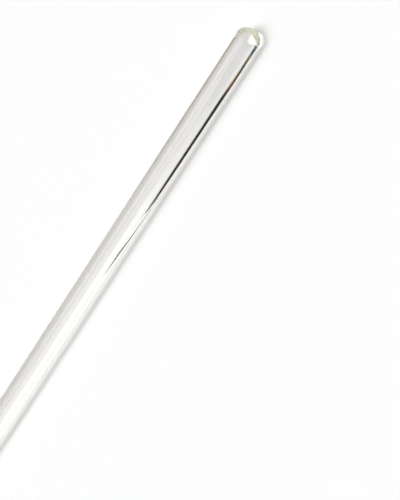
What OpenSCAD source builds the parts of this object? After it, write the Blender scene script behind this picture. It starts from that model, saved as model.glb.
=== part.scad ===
// Glass stirring rod: one piece of drawn round glass, with both ends rounded in a flame.
// The rod lies along X and the middle of its axis is the origin. Lengths are in millimetres.

/* [Shank] */
// Length of the whole rod, over its rounded ends
rod_length = 200; // [100:5:300]
// Diameter of the drawn rod
rod_diameter = 6; // [4:0.5:10]

/* [Ends] */
// How far each rounded end reaches past the round shank, as a share of the rod's radius
end_reach = 0.8; // [0.7:0.05:0.95]
// Radius of the shoulder that runs into the shank, as a share of the rod's radius
shoulder_share = 0.65; // [0.3:0.05:0.65]

/* [Hidden] */
$fn = 96;

rod_radius = rod_diameter / 2;
end_depth = end_reach * rod_radius;
shank_length = rod_length - 2 * end_depth;

// The flame leaves each end a shallow crown in the middle and a tighter shoulder round it.
// The two arcs meet smoothly, which sets the crown's radius.
shoulder_radius = shoulder_share * rod_radius;
shoulder_offset = rod_radius - shoulder_radius;
crown_radius = (end_depth ^ 2 + shoulder_offset ^ 2 - shoulder_radius ^ 2)
    / (2 * (end_depth - shoulder_radius));
crown_drop = crown_radius - end_depth;
meeting_radius = crown_radius * sin(atan2(shoulder_offset, crown_drop));

// The middle of a disc, from the turning axis out to the radius at which crown and shoulder meet
module crown_slice() {
    intersection() {
        circle(r = crown_radius);
        square([meeting_radius, crown_radius]);
    }
}

// A quarter of a disc, which the turn makes into the shoulder
module shoulder_quarter() {
    intersection() {
        circle(r = shoulder_radius);
        square(shoulder_radius);
    }
}

// Half of the rod's section, from its axis out to its surface, standing along the turning axis
module half_section() {
    translate([0, -shank_length / 2])
        square([rod_radius, shank_length]);
    for (end = [0, 1])
        mirror([0, end])
            translate([0, shank_length / 2]) {
                translate([0, -crown_drop])
                    crown_slice();
                translate([shoulder_offset, 0])
                    shoulder_quarter();
            }
}

// The rod, turned from its half section and laid along X
module rod() {
    color([0.93, 0.95, 0.92, 0.35])
        rotate([0, 90, 0])
            rotate_extrude()
                half_section();
}

rod();
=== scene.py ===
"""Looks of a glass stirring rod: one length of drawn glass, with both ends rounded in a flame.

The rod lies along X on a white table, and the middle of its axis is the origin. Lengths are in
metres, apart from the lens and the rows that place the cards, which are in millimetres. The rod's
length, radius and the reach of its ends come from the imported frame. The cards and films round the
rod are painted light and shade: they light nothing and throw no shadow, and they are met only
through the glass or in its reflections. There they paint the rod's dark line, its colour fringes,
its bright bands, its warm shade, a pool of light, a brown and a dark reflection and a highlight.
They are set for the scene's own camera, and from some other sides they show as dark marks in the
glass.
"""

import logging
import math
from dataclasses import dataclass
from enum import Enum
from typing import Any, Callable

import bpy
from mathutils import Matrix, Vector


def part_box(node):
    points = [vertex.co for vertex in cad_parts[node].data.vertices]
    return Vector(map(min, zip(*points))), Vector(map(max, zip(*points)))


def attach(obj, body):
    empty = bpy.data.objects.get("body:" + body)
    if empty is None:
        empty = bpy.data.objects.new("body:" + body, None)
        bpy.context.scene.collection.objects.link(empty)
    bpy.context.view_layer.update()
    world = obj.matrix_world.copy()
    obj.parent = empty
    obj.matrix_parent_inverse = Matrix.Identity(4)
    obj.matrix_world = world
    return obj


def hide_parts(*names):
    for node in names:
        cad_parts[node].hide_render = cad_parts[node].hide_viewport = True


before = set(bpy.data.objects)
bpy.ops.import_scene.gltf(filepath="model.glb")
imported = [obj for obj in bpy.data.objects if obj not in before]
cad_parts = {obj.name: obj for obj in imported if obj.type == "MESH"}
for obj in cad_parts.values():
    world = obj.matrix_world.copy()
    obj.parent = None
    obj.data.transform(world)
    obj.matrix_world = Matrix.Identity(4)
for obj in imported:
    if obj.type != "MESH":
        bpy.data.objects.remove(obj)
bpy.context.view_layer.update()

LOG = logging.getLogger("stirring_rod")

MM = 0.001
NODE = "rod"
BODY = "root"

# Two points that lie closer together than this are the same one
SAME_PLACE = 1e-7
# A point farther than this share of the radius from the axis belongs to the shank
SHANK_SHARE = 0.9995
# Times that light may bounce inside the rod, and between the other surfaces
BOUNCES_IN_GLASS = 160
BOUNCES_IN_ROOM = 4


# --- small helpers -----------------------------------------------------------------------------


def linear(hex_colour: str) -> tuple[float, float, float, float]:
    """Turns an sRGB hex colour into the linear colour that a node takes.

    Args:
        hex_colour: six hex digits, such as "F2F5EE".

    Returns:
        Red, green, blue and an alpha of 1.
    """
    channels = [int(hex_colour[i : i + 2], 16) / 255 for i in (0, 2, 4)]
    red, green, blue = [
        c / 12.92 if c <= 0.04045 else ((c + 0.055) / 1.055) ** 2.4 for c in channels
    ]
    return (red, green, blue, 1.0)


def add_node(
    tree: bpy.types.NodeTree,
    kind: str,
    settings: dict[str, Any] | None = None,
    inputs: dict[Any, Any] | None = None,
) -> bpy.types.Node:
    """Adds a node to a tree.

    Args:
        tree: the node tree.
        kind: the node's type name.
        settings: values for the node's own properties.
        inputs: a value for each input, or an output socket to link to it.

    Returns:
        The new node.
    """
    node = tree.nodes.new(kind)
    for name, value in (settings or {}).items():
        setattr(node, name, value)
    for name, value in (inputs or {}).items():
        if isinstance(value, bpy.types.NodeSocket):
            tree.links.new(value, node.inputs[name])
        else:
            node.inputs[name].default_value = value
    return node


def new_material(name: str) -> bpy.types.Material:
    """Makes a material with an empty node tree.

    Args:
        name: the finish's name.

    Returns:
        The new material.
    """
    material = bpy.data.materials.new(name)
    material.use_nodes = True
    material.node_tree.nodes.clear()
    return material


def deselect_all() -> None:
    """Leaves edit mode and deselects every object."""
    if bpy.context.object and bpy.context.object.mode != "OBJECT":
        bpy.ops.object.mode_set(mode="OBJECT")
    bpy.ops.object.select_all(action="DESELECT")


def edit(select_mode: str) -> None:
    """Goes into edit mode on the active object with nothing selected.

    Args:
        select_mode: "VERT", "EDGE" or "FACE".
    """
    bpy.ops.object.mode_set(mode="EDIT")
    bpy.ops.mesh.select_mode(type=select_mode)
    bpy.ops.mesh.select_all(action="DESELECT")
    bpy.ops.object.mode_set(mode="OBJECT")


def pick(items: Any, wanted: Callable[[Any], bool]) -> None:
    """Selects mesh elements by a test and goes into edit mode.

    Args:
        items: the active mesh's vertices, edges or polygons.
        wanted: says whether an element is to be selected.
    """
    for item in items:
        item.select = wanted(item)
    bpy.ops.object.mode_set(mode="EDIT")


# --- finishes ----------------------------------------------------------------------------------


@dataclass(frozen=True)
class DrawnGlass:
    """Clear borosilicate glass, drawn to a rod and fire-polished at the ends.

    The drawn skin is smooth, so it is clear and sharp, with very faint lines along its length. A
    short way through the glass looks colourless, but light that runs along the rod comes out of
    an end green, because iron in the glass takes a little of the red and more of the blue.
    """

    name: str = "drawn_borosilicate_glass"
    ior: float = 1.473
    # The lower a channel of this colour is, the more of that channel the glass takes on the way
    absorption_hex: str = "9CAA00"
    absorption_density: float = 2.05
    # Draw lines: about a quarter of a millimetre apart round the rod, and tens of millimetres long
    line_spacing: float = 0.25 * MM
    line_length: float = 60 * MM
    line_depth: float = 0.0012 * MM
    line_detail: float = 2.0

    def build(self) -> bpy.types.Material:
        """Makes the glass.

        Returns:
            The material.
        """
        material = new_material(self.name)
        tree = material.node_tree
        place = add_node(tree, "ShaderNodeTexCoord")
        stretched = add_node(
            tree,
            "ShaderNodeMapping",
            inputs={
                "Vector": place.outputs["Object"],
                "Scale": (1 / self.line_length, 1 / self.line_spacing, 1 / self.line_spacing),
            },
        )
        lines = add_node(
            tree,
            "ShaderNodeTexNoise",
            inputs={
                "Vector": stretched.outputs["Vector"],
                "Scale": 1.0,
                "Detail": self.line_detail,
            },
        )
        relief = add_node(
            tree,
            "ShaderNodeBump",
            inputs={"Strength": 1.0, "Distance": self.line_depth, "Height": lines.outputs["Fac"]},
        )
        glass = add_node(
            tree,
            "ShaderNodeBsdfPrincipled",
            inputs={
                "Base Color": (1, 1, 1, 1),
                "Roughness": 0.0,
                "IOR": self.ior,
                "Transmission Weight": 1.0,
                "Normal": relief.outputs["Normal"],
            },
        )
        absorption = add_node(
            tree,
            "ShaderNodeVolumeAbsorption",
            inputs={"Color": linear(self.absorption_hex), "Density": self.absorption_density},
        )
        add_node(
            tree,
            "ShaderNodeOutputMaterial",
            inputs={"Surface": glass.outputs["BSDF"], "Volume": absorption.outputs["Volume"]},
        )
        return material


@dataclass(frozen=True)
class WhiteTable:
    """Matt white laminate, which scatters light evenly and has almost no gloss."""

    name: str = "matt_white_laminate"
    colour_hex: str = "F5F5F5"
    roughness: float = 0.9
    specular: float = 0.1

    def build(self) -> bpy.types.Material:
        """Makes the laminate.

        Returns:
            The material.
        """
        material = new_material(self.name)
        tree = material.node_tree
        white = add_node(
            tree,
            "ShaderNodeBsdfPrincipled",
            inputs={
                "Base Color": linear(self.colour_hex),
                "Roughness": self.roughness,
                "Specular IOR Level": self.specular,
            },
        )
        add_node(tree, "ShaderNodeOutputMaterial", inputs={"Surface": white.outputs["BSDF"]})
        return material


@dataclass(frozen=True)
class PlainCard:
    """Card that glows evenly in one colour, for painted light or shade seen in the glass.

    Attributes:
        name: the finish's name.
        colour_hex: its colour.
        strength: its light, where 1 shows the colour as it is.
    """

    name: str
    colour_hex: str
    strength: float = 1.0

    def build(self) -> bpy.types.Material:
        """Makes the card.

        Returns:
            The material.
        """
        material = new_material(self.name)
        tree = material.node_tree
        light = add_node(
            tree,
            "ShaderNodeEmission",
            inputs={"Color": linear(self.colour_hex), "Strength": self.strength},
        )
        add_node(tree, "ShaderNodeOutputMaterial", inputs={"Surface": light.outputs["Emission"]})
        return material


class Stock(Enum):
    """What a painted card is made of."""

    CARD = "card"
    ONE_WAY_FILM = "one_way_film"
    CLEAR_FILM = "clear_film"


@dataclass(frozen=True)
class PaintedCard:
    """Card that glows with colours that change along X, to paint light and shade into the glass.

    With the colours of a spectrum it paints the colour fringes of the glass's dispersion.

    Attributes:
        name: the finish's name.
        start: where the first colour lies along X.
        end: where the last colour lies along X.
        colours_hex: the colours in order, evenly spaced.
        strength: its light, where 1 shows the colours as they are.
        stock: card, film that glows on one face and is clear from the other, or clear film
            that adds its light to what is seen through it.
    """

    name: str
    start: float
    end: float
    colours_hex: tuple[str, ...]
    strength: float = 1.0
    stock: Stock = Stock.CARD

    def build(self) -> bpy.types.Material:
        """Makes the card.

        Returns:
            The material.
        """
        material = new_material(self.name)
        tree = material.node_tree
        place = add_node(tree, "ShaderNodeTexCoord")
        parts = add_node(
            tree, "ShaderNodeSeparateXYZ", inputs={"Vector": place.outputs["Object"]}
        )
        along = add_node(
            tree,
            "ShaderNodeMapRange",
            inputs={
                "Value": parts.outputs["X"],
                "From Min": self.start,
                "From Max": self.end,
            },
        )
        paint_ramp = add_node(tree, "ShaderNodeValToRGB", inputs={"Fac": along.outputs["Result"]})
        stops = paint_ramp.color_ramp.elements
        last = len(self.colours_hex) - 1
        for step in range(1, last):
            stops.new(step / last)
        for stop, colour in zip(stops, self.colours_hex):
            stop.color = linear(colour)
        light = add_node(
            tree,
            "ShaderNodeEmission",
            inputs={"Color": paint_ramp.outputs["Color"], "Strength": self.strength},
        )
        surface = self._on_stock(tree, light.outputs["Emission"])
        add_node(tree, "ShaderNodeOutputMaterial", inputs={"Surface": surface})
        return material

    def _on_stock(
        self, tree: bpy.types.NodeTree, light: bpy.types.NodeSocket
    ) -> bpy.types.NodeSocket:
        """Puts the painted light on the card's stock.

        Args:
            tree: the material's node tree.
            light: the shader of the painted glow.

        Returns:
            The shader of the painted card or film.
        """
        if self.stock is Stock.CARD:
            return light
        clear = add_node(tree, "ShaderNodeBsdfTransparent").outputs["BSDF"]
        # Both shader inputs of these nodes have the same name, so they are given by number
        if self.stock is Stock.ONE_WAY_FILM:
            face = add_node(tree, "ShaderNodeNewGeometry")
            film = add_node(
                tree,
                "ShaderNodeMixShader",
                inputs={"Fac": face.outputs["Backfacing"], 1: light, 2: clear},
            )
        else:
            film = add_node(tree, "ShaderNodeAddShader", inputs={0: light, 1: clear})
        return film.outputs["Shader"]


@dataclass(frozen=True)
class FadingGlowCard:
    """Card whose white glow falls off along Y; it paints a pool of light.

    Attributes:
        name: the finish's name.
        near: where along Y it is brightest.
        far: where along Y it is dimmest.
        bright: its light at the near side, where 1 is white.
        dim: its light at the far side.
    """

    name: str
    near: float
    far: float
    bright: float = 1.08
    dim: float = 0.85

    def build(self) -> bpy.types.Material:
        """Makes the card.

        Returns:
            The material.
        """
        material = new_material(self.name)
        tree = material.node_tree
        place = add_node(tree, "ShaderNodeTexCoord")
        parts = add_node(
            tree, "ShaderNodeSeparateXYZ", inputs={"Vector": place.outputs["Object"]}
        )
        level = add_node(
            tree,
            "ShaderNodeMapRange",
            settings={"interpolation_type": "SMOOTHSTEP"},
            inputs={
                "Value": parts.outputs["Y"],
                "From Min": self.near,
                "From Max": self.far,
                "To Min": self.bright,
                "To Max": self.dim,
            },
        )
        light = add_node(
            tree, "ShaderNodeEmission", inputs={"Strength": level.outputs["Result"]}
        )
        add_node(tree, "ShaderNodeOutputMaterial", inputs={"Surface": light.outputs["Emission"]})
        return material


# --- the object --------------------------------------------------------------------------------


@dataclass
class StirringRod:
    """The glass rod: a round shank with a shallow rounded end on each side.

    Attributes:
        half_length: half the rod's length over its ends.
        radius: the shank's radius.
        end_depth: how far each rounded end reaches past the shank.
        segments: faces round the rod.
        rings: rings of faces over the two ends together.
        shank_cuts: cuts along the shank.
    """

    half_length: float
    radius: float
    end_depth: float
    segments: int = 256
    rings: int = 128
    shank_cuts: int = 80

    @classmethod
    def from_frame(cls) -> "StirringRod":
        """Reads the rod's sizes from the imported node.

        Returns:
            A rod that fits the frame.
        """
        low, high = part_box(NODE)
        radius = (high[2] - low[2]) / 2
        shank_end = max(
            v.co.x
            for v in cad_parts[NODE].data.vertices
            if math.hypot(v.co.y, v.co.z) > SHANK_SHARE * radius
        )
        return cls(half_length=high[0], radius=radius, end_depth=high[0] - shank_end)

    @property
    def shank_end(self) -> float:
        """Where the shank meets the rounded end at +X."""
        return self.half_length - self.end_depth

    def build(self, glass: bpy.types.Material) -> bpy.types.Object:
        """Models the rod: a ball pressed shallow, parted at its widest ring and drawn out.

        Args:
            glass: the rod's finish.

        Returns:
            The finished piece.
        """
        deselect_all()
        bpy.ops.mesh.primitive_uv_sphere_add(
            segments=self.segments,
            ring_count=self.rings,
            radius=self.radius,
            location=(-self.shank_end, 0, 0),
            rotation=(0, math.pi / 2, 0),
        )
        rod = bpy.context.object
        rod.name = "glass_rod"
        bpy.ops.object.transform_apply(location=True, rotation=True, scale=True)
        self._press_shallow()
        self._draw_out(rod)
        self._cut_shank(rod)
        bpy.ops.object.mode_set(mode="EDIT")
        bpy.ops.mesh.select_all(action="SELECT")
        bpy.ops.mesh.normals_make_consistent(inside=False)
        bpy.ops.object.mode_set(mode="OBJECT")
        bpy.ops.object.shade_smooth()
        rod.data.materials.append(glass)
        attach(rod, BODY)
        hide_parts(NODE)
        return rod

    def _press_shallow(self) -> None:
        """Presses the ball along X, so that each half is as deep as a rounded end."""
        bpy.ops.object.mode_set(mode="EDIT")
        bpy.ops.mesh.select_all(action="SELECT")
        bpy.ops.transform.resize(
            value=(self.end_depth / self.radius, 1, 1),
            center_override=(-self.shank_end, 0, 0),
        )
        bpy.ops.object.mode_set(mode="OBJECT")

    def _draw_out(self, rod: bpy.types.Object) -> None:
        """Pulls the +X half of the ball away, with the shank's wall behind it.

        Args:
            rod: the pressed ball.
        """
        edit("FACE")
        pick(rod.data.polygons, lambda face: face.center.x > -self.shank_end)
        bpy.ops.mesh.extrude_region_move(
            TRANSFORM_OT_translate={"value": (2 * self.shank_end, 0, 0)}
        )
        bpy.ops.object.mode_set(mode="OBJECT")

    def _cut_shank(self, rod: bpy.types.Object) -> None:
        """Cuts the shank's long faces into rings.

        Args:
            rod: the drawn rod.
        """
        edit("EDGE")
        points = rod.data.vertices
        pick(
            rod.data.edges,
            lambda edge: abs(points[edge.vertices[0]].co.x - points[edge.vertices[1]].co.x)
            > self.shank_end,
        )
        bpy.ops.mesh.subdivide(number_cuts=self.shank_cuts)
        bpy.ops.object.mode_set(mode="OBJECT")


# --- table, cards, light and camera ------------------------------------------------------------


class SeenBy(Enum):
    """Which rays meet a thing on the stage."""

    THROUGH_GLASS = "through_glass"
    IN_REFLECTIONS = "in_reflections"

    def apply(self, thing: bpy.types.Object) -> None:
        """Sets which rays meet an object.

        Args:
            thing: the object on the stage.
        """
        thing.visible_camera = False
        thing.visible_diffuse = False
        thing.visible_shadow = False
        thing.visible_volume_scatter = False
        thing.visible_transmission = self is SeenBy.THROUGH_GLASS
        thing.visible_glossy = self is SeenBy.IN_REFLECTIONS


@dataclass
class Table:
    """The white table top that the rod lies on.

    Attributes:
        top: the height of its surface.
        width: the length of its sides, far past every view.
    """

    top: float
    width: float = 6.0

    def build(self) -> bpy.types.Object:
        """Lays the table top.

        Returns:
            The table top, which is stage.
        """
        deselect_all()
        bpy.ops.mesh.primitive_plane_add(size=self.width, location=(0, 0, self.top))
        table = bpy.context.object
        table.name = "table_top"
        table.data.materials.append(WhiteTable().build())
        return table


@dataclass(frozen=True)
class Station:
    """One upright of a card strip.

    Attributes:
        from_tip: its distance from the rod's +X tip, back along the rod.
        aside: its distance from the rod's axis.
        low: the height of its foot above the table.
        high: the height of its top above the table.
    """

    from_tip: float
    aside: float
    low: float
    high: float


@dataclass
class CardStrip:
    """A narrow strip of card that stands beside the rod.

    Attributes:
        name: the strip's name.
        stations: its uprights in order.
        tip: where the rod's +X tip is.
        table_top: the height of the table.
        seen_by: which rays meet it.
    """

    name: str
    stations: list[Station]
    tip: float
    table_top: float
    seen_by: SeenBy = SeenBy.THROUGH_GLASS

    def build(self, finish: bpy.types.Material) -> bpy.types.Object:
        """Folds the strip from a flat card, one length at a time.

        Args:
            finish: the card's finish.

        Returns:
            The strip, which is stage.
        """
        deselect_all()
        bpy.ops.mesh.primitive_plane_add(size=1.0)
        strip = bpy.context.object
        strip.name = self.name
        uprights = [self._upright(station) for station in self.stations]
        mesh = strip.data
        # The card's four corners: 0 and 2 become the first upright, 1 and 3 the second
        for corner, place in zip((0, 2, 1, 3), (*uprights[0], *uprights[1])):
            mesh.vertices[corner].co = place
        for before, after in zip(uprights[1:], uprights[2:]):
            edit("VERT")
            pick(
                mesh.vertices,
                lambda v: min((v.co - end).length for end in before) < SAME_PLACE,
            )
            bpy.ops.mesh.extrude_region_move(
                TRANSFORM_OT_translate={"value": after[0] - before[0]}
            )
            bpy.ops.object.mode_set(mode="OBJECT")
            drawn_top = before[1] + after[0] - before[0]
            for vertex in mesh.vertices:
                if (vertex.co - drawn_top).length < SAME_PLACE:
                    vertex.co = after[1]
        mesh.materials.append(finish)
        self.seen_by.apply(strip)
        return strip

    def _upright(self, station: Station) -> tuple[Vector, Vector]:
        """Places one upright.

        Args:
            station: where it stands and how high it reaches.

        Returns:
            Its foot and its top.
        """
        x = self.tip - station.from_tip
        foot = Vector((x, station.aside, self.table_top + station.low))
        top = Vector((x, station.aside, self.table_top + station.high))
        return foot, top


@dataclass
class StudioCards:
    """The cards and films that paint light and shade into the glass, standing round the rod.

    Most stand on its +Y side and are met only through the glass. The last three are met only in
    reflections, where they paint a brown reflection, a dark reflection and a highlight. None of
    them lights the table or throws a shadow.

    Attributes:
        tip: where the rod's +X tip is.
        table_top: the height of the table.
    """

    tip: float
    table_top: float

    def build(self) -> None:
        """Stands up every card, from the black ones to the panels."""
        # Black glow, met only through the glass or in reflections: it paints the rod's dark line
        # and a dark reflection
        black = PlainCard("painted_dark_glow", "0C0B0B").build()
        self._black_strips(black)
        self._spectrum_fringes()
        self._pale_strips()
        self._clear_films()
        self._paint_warm_shade()
        self._small_white_card()
        self._paint_reflections(black)

    def _stand(
        self,
        name: str,
        finish: bpy.types.Material,
        *rows: tuple[float, float, float, float],
        seen_by: SeenBy = SeenBy.THROUGH_GLASS,
    ) -> None:
        """Stands up one strip.

        Args:
            name: the strip's name.
            finish: its finish.
            rows: for each upright, in millimetres, its distance from the tip, its distance
                from the axis, and the height of its foot and of its top.
            seen_by: which rays meet it.
        """
        stations = [Station(*(value * MM for value in row)) for row in rows]
        strip = CardStrip(name, stations, self.tip, self.table_top, seen_by).build(finish)
        LOG.info("%s: %d uprights", strip.name, len(stations))

    def _paint_card(
        self,
        name: str,
        reach: tuple[float, float],
        colours_hex: tuple[str, ...],
        strength: float = 1.0,
        stock: Stock = Stock.CARD,
    ) -> bpy.types.Material:
        """Paints a card that glows with light, shade or fringes for the glass.

        Args:
            name: the finish's name.
            reach: how far from the tip the first and the last colour lie, in millimetres.
            colours_hex: the colours in order, evenly spaced.
            strength: its light, where 1 shows the colours as they are.
            stock: what it is painted on.

        Returns:
            The card's finish.
        """
        start, end = (self.tip - distance * MM for distance in reach)
        return PaintedCard(name, start, end, colours_hex, strength, stock).build()

    def _black_strips(self, black: bpy.types.Material) -> None:
        """Stands up the black strips, met only through the glass, that paint the dark line along
        the rod's -Y side.

        Args:
            black: the black glow that paints the dark line.
        """
        self._stand("painted_dark_line_far", black, (35, 60, 0, 56), (47, 60, 0, 28))
        self._stand(
            "painted_dark_line_low",
            black,
            (5.9, 5.2, 0, 0.42),
            (11.3, 5.4, 0, 0.42),
            (14.5, 5.1, 0, 0.42),
        )
        self._stand(
            "painted_dark_line_long",
            black,
            (12, 5.3, 0, 2.8),
            (18, 4.6, 0, 1.9),
            (22, 3.8, 0, 1.35),
            (36, 3.5, 0, 0.95),
            (42, 3.35, 0, 0.8),
            (55, 3.35, 0, 0.5),
            (59, 3.35, 0, 0.1),
        )
        self._stand(
            "painted_dark_line_short",
            black,
            (57, 3.15, 0.6, 0.7),
            (66, 3.15, 0.3, 0.55),
            (72, 3.15, 0, 0.25),
            (80, 3.15, 0, 0.02),
        )

    def _spectrum_fringes(self) -> None:
        """Stands up the strips that paint dispersion fringes on the dark line near the tip."""
        dim = self._paint_card(
            "painted_dispersion_dim",
            (6.8, 12),
            ("101413", "2C5E50", "567E44", "80802C", "8C6C34", "825642", "70484E", "181818"),
        )
        self._stand("first_fringe", dim, (5.7, 4.7, 0, 1.1), (9, 4.7, 0, 1.35), (12.2, 4.8, 0, 0.9))
        bright = self._paint_card(
            "painted_dispersion_bright",
            (11.5, 21.5),
            ("8CB2A6", "BCC6A0", "D2C088", "DCAE70", "CC9850", "AC623C", "6F403C", "201A1A"),
        )
        self._stand(
            "second_fringe",
            bright,
            (9.5, 4.3, 0, 0.1),
            (12, 4.2, 0, 0.35),
            (18, 3.9, 0, 0.4),
            (22, 3.8, 0, 0.15),
        )

    def _pale_strips(self) -> None:
        """Stands up strips that paint pale fringes and shade by the dark line, and a glow that
        whitens the shank.
        """
        pale = self._paint_card(
            "painted_dispersion_pale",
            (4.6, 20),
            ("D0CCCC", "D6DEE8", "DCE6E8", "F0E8DA", "F0E2CA", "E8D4BC", "DCCCBE", "D0C8C0"),
        )
        self._stand("pale_fringe", pale, (4.6, 3.1, 0, 0.17), (20, 3.1, 0, 0.17))
        # Grey strip beside the dark line: painted shade seen through the glass
        grey = self._paint_card(
            "painted_shade_graded_card", (19, 57), ("D2CAC2", "C6BEB6", "B0A69E", "9C948A", "C0BAB2")
        )
        self._stand(
            "grey_fringe",
            grey,
            (19, 3.1, 0, 0.12),
            (30, 3.1, 0, 0.16),
            (57, 3.1, 0, 0.13),
            (61, 3.1, 0, 0.02),
        )
        # Glows a little brighter than white: a painted bright band along the shank
        white = self._paint_card(
            "painted_bright_band_glow",
            (24, 58),
            ("DEDCD9", "E3E2DF", "E7E6E3", "EAE9E7", "EDEDEA", "F3F3F1", "FAFAF9"),
            strength=1.06,
        )
        self._stand(
            "painted_bright_band", white, (24, 2.2, 0.1, 0.25), (90, 2.2, 0.1, 0.25), (198, 2.2, 0.1, 0.3)
        )

    def _clear_films(self) -> None:
        """Stands up the films whose glow adds painted light: soft at the bright band's edge, cool
        on the shank near the tip.
        """
        soft = self._paint_card(
            "painted_soft_light_film", (64, 90), ("303030", "484848"), stock=Stock.CLEAR_FILM
        )
        self._stand(
            "painted_soft_light", soft, (64, 2.17, 0, 0.4), (80, 2.17, 0, 0.45), (198, 2.17, 0, 0.45)
        )
        cool = self._paint_card(
            "painted_cool_light_film", (25, 44), ("273042", "181C24", "000000"), stock=Stock.CLEAR_FILM
        )
        self._stand("painted_cool_light", cool, (4.9, 2.17, 0, 0.36), (44, 2.17, 0, 0.36))

    def _paint_warm_shade(self) -> None:
        """Stands up the one-way films that paint a warm shade on the rod's +Y edge."""
        # Warm grey glow, met only through the glass: painted shade on the rod's +Y edge
        warm = self._paint_card(
            "warm_grey_graded_card",
            (6, 56),
            ("B09C8A", "AEA69B", "B0A99F", "B4AFA6", "B8B4AC", "BAB7B0", "BEBCB6", "C4C2BC"),
            stock=Stock.ONE_WAY_FILM,
        )
        self._stand("painted_warm_shade_outer", warm, (5.3, 1.85, 0, 0.6), (58, 1.85, 0, 0.6))
        self._stand("painted_warm_shade_inner", warm, (5.3, 2.02, 0, 0.45), (45, 2.02, 0, 0.45))

    def _small_white_card(self) -> None:
        """Stands up the glowing card that paints a pool of light, seen as a white patch in the
        rounded end.
        """
        # A glow met only through the glass: a painted pool of light on the table under the tip
        white = FadingGlowCard("painted_light_pool", near=1.85 * MM, far=2.1 * MM).build()
        self._stand(
            "small_white_card",
            white,
            (4.5, 1.5, 0.33, 0.4),
            (4.6, 1.7, 0.3, 0.45),
            (4.7, 1.9, 0.3, 0.5),
            (4.8, 2.05, 0.33, 0.5),
        )

    def _paint_reflections(self, black: bpy.types.Material) -> None:
        """Stands up the panels, met only in reflections, that paint a brown and a dark reflection
        and a highlight.

        Args:
            black: the black glow, here for the painted dark reflection.
        """
        brown = self._paint_card(
            "painted_brown_reflection_card", (10, 92), ("54361A", "704A28", "8A6238", "94724A")
        )
        # White glow three times as bright as white, met only in reflections: a painted highlight
        # that lights nothing
        frosted = PlainCard("frosted_light_panel", "FFFFFF", strength=3.2).build()
        # Rows of the painted brown reflection, the painted dark reflection and the painted
        # highlight
        wall = ((10, 60, 0, 36), (68, 60, 0, 36), (92, 60, 0, 6))
        low_wall = ((3, -3.02, 0, 3.2), (50, -3.02, 0, 3.2), (56, -3.02, 0, 2.4))
        overhead = ((70, -60, 60, 64), (100, -60, 40, 250), (320, -60, 40, 250))
        for name, finish, rows in (
            ("painted_brown_reflection", brown, wall),
            ("painted_dark_reflection", black, low_wall),
            ("painted_highlight", frosted, overhead),
        ):
            self._stand(name, finish, *rows, seen_by=SeenBy.IN_REFLECTIONS)


@dataclass(frozen=True)
class Softbox:
    """One disc of the studio lamp, as it looks from the table.

    Attributes:
        name: the disc's name.
        along: how far it leans from overhead toward the rod's -X end, in degrees.
        aside: how far it leans toward +Y, in degrees.
        spread: how wide it looks, in degrees.
        share: the light that it throws straight at a surface, where 1 makes a white one white.
    """

    name: str
    along: float
    aside: float
    spread: float
    share: float


@dataclass
class Light:
    """The studio light: a large softbox with a bright middle, in a white room.

    Attributes:
        discs: the softbox's bright middle, its whole face and its far edge.
        lamp_hex: its colour.
        near_hex: the colour of the room's -Y side.
        far_hex: the colour of its +Y side.
        room_low: the room's strength at the horizon.
        room_high: its strength overhead.
        grade_start: the height, where 1 is overhead, up to which the strength is as at the
            horizon.
    """

    discs: tuple[Softbox, ...] = (
        Softbox("softbox_middle", along=10.5, aside=8, spread=28, share=0.22),
        Softbox("softbox_face", along=10.5, aside=8, spread=64, share=0.39),
        Softbox("softbox_edge", along=32, aside=10.6, spread=16, share=0.045),
    )
    lamp_hex: str = "EEF4FD"
    near_hex: str = "ECE0CE"
    far_hex: str = "FFFEFC"
    room_low: float = 1.1
    room_high: float = 0.32
    grade_start: float = 0.1

    def build(self) -> None:
        """Hangs the softbox and paints the room."""
        for disc in self.discs:
            self._hang(disc)
        self._room()

    def _hang(self, disc: Softbox) -> None:
        """Hangs one disc of the softbox, far enough away to light the whole table alike.

        Args:
            disc: the disc.
        """
        along, aside = math.radians(disc.along), math.radians(disc.aside)
        towards = Vector((-math.tan(along), math.tan(aside), 1)).normalized()
        lamp = bpy.data.lights.new(disc.name, "SUN")
        lamp.angle = math.radians(disc.spread)
        lamp.color = linear(self.lamp_hex)[:3]
        lamp.energy = disc.share * math.pi
        holder = bpy.data.objects.new(disc.name, lamp)
        holder.rotation_mode = "QUATERNION"
        holder.rotation_quaternion = towards.to_track_quat("Z", "Y")
        bpy.context.scene.collection.objects.link(holder)

    def _room(self) -> None:
        """Paints the room: plain white to the camera, and graded for everything else."""
        world = bpy.data.worlds.new("white_room")
        bpy.context.scene.world = world
        world.use_nodes = True
        tree = world.node_tree
        tree.nodes.clear()
        direction = add_node(tree, "ShaderNodeTexCoord")
        parts = add_node(
            tree, "ShaderNodeSeparateXYZ", inputs={"Vector": direction.outputs["Generated"]}
        )
        grade = add_node(
            tree,
            "ShaderNodeMapRange",
            settings={"interpolation_type": "SMOOTHSTEP"},
            inputs={
                "Value": parts.outputs["Z"],
                "From Min": self.grade_start,
                "From Max": 1.0,
                "To Min": self.room_low,
                "To Max": self.room_high,
            },
        )
        side = add_node(
            tree,
            "ShaderNodeMapRange",
            inputs={"Value": parts.outputs["Y"], "From Min": -1.0, "From Max": 1.0},
        )
        # A Mix node's colours are its inputs 6 and 7 and its output 2
        walls = add_node(
            tree,
            "ShaderNodeMix",
            settings={"data_type": "RGBA"},
            inputs={
                "Factor": side.outputs["Result"],
                6: linear(self.near_hex),
                7: linear(self.far_hex),
            },
        )
        room = add_node(
            tree,
            "ShaderNodeBackground",
            inputs={"Color": walls.outputs[2], "Strength": grade.outputs["Result"]},
        )
        backdrop = add_node(
            tree, "ShaderNodeBackground", inputs={"Color": (1, 1, 1, 1), "Strength": 1.0}
        )
        rays = add_node(tree, "ShaderNodeLightPath")
        seen = add_node(
            tree,
            "ShaderNodeMixShader",
            inputs={
                "Fac": rays.outputs["Is Camera Ray"],
                1: room.outputs["Background"],
                2: backdrop.outputs["Background"],
            },
        )
        add_node(tree, "ShaderNodeOutputWorld", inputs={"Surface": seen.outputs["Shader"]})


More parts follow.
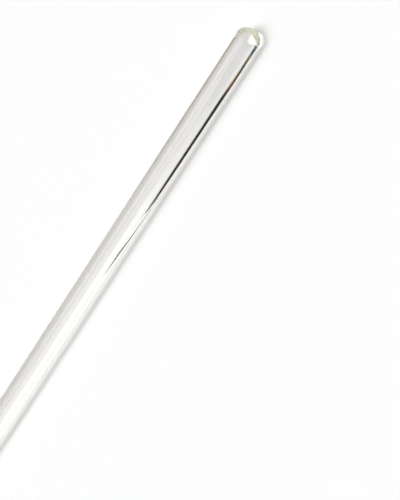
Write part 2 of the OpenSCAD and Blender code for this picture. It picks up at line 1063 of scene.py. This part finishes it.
@dataclass
class Camera:
    """The camera: long lens, looking down across the rod, turned on its side.

    Attributes:
        aim: the point on the table, in X and Y, at the middle of the picture.
        table_top: the height of the table.
        distance: how far the camera stands from that point.
        azimuth: the camera's direction round from +X, in degrees.
        elevation: its height above the horizon, in degrees.
        roll: its turn about the line of sight, in degrees.
        lens: the focal length in millimetres, on a sensor 36 mm along its long side.
        clip: the nearest and the farthest distance that it shows.
    """

    aim: tuple[float, float]
    table_top: float
    distance: float = 816.63 * MM
    azimuth: float = -45.26
    elevation: float = 42.34
    roll: float = -90.0
    lens: float = 249.6
    clip: tuple[float, float] = (0.01, 50.0)

    def build(self) -> bpy.types.Object:
        """Sets the camera up as the scene's own.

        Returns:
            The camera.
        """
        settings = bpy.data.cameras.new("camera")
        settings.lens = self.lens
        settings.clip_start, settings.clip_end = self.clip
        camera = bpy.data.objects.new("camera", settings)
        turn = (
            Matrix.Rotation(math.radians(self.azimuth + 90), 4, "Z")
            @ Matrix.Rotation(math.radians(90 - self.elevation), 4, "X")
            @ Matrix.Rotation(math.radians(self.roll), 4, "Z")
        )
        target = Matrix.Translation((*self.aim, self.table_top))
        camera.matrix_world = target @ turn @ Matrix.Translation((0, 0, self.distance))
        bpy.context.scene.collection.objects.link(camera)
        bpy.context.scene.camera = camera
        return camera


def set_light_paths() -> None:
    """Lets light bounce often enough inside the rod to run its whole length and come out."""
    cycles = bpy.context.scene.cycles
    cycles.max_bounces = BOUNCES_IN_GLASS
    cycles.transmission_bounces = BOUNCES_IN_GLASS
    cycles.glossy_bounces = BOUNCES_IN_GLASS
    cycles.diffuse_bounces = BOUNCES_IN_ROOM
    cycles.blur_glossy = 0.0
    cycles.sample_clamp_indirect = 0.0
    cycles.caustics_reflective = True
    cycles.caustics_refractive = True


def main() -> None:
    """Builds the rod, the table and the studio in order."""
    logging.basicConfig(level=logging.INFO, format="%(name)s: %(message)s")
    bpy.context.scene.view_settings.view_transform = "Standard"
    rod = StirringRod.from_frame()
    piece = rod.build(DrawnGlass().build())
    LOG.info("%s: %d faces", piece.name, len(piece.data.polygons))
    table = Table(top=-rod.radius)
    LOG.info("%s: %.1f mm below the axis", table.build().name, rod.radius / MM)
    StudioCards(tip=rod.half_length, table_top=table.top).build()
    Light().build()
    camera = Camera(aim=(49.05 * MM, -20.30 * MM), table_top=table.top).build()
    LOG.info("%s: %.1f mm lens", camera.name, camera.data.lens)
    set_light_paths()


if __name__ == "__main__":
    main()
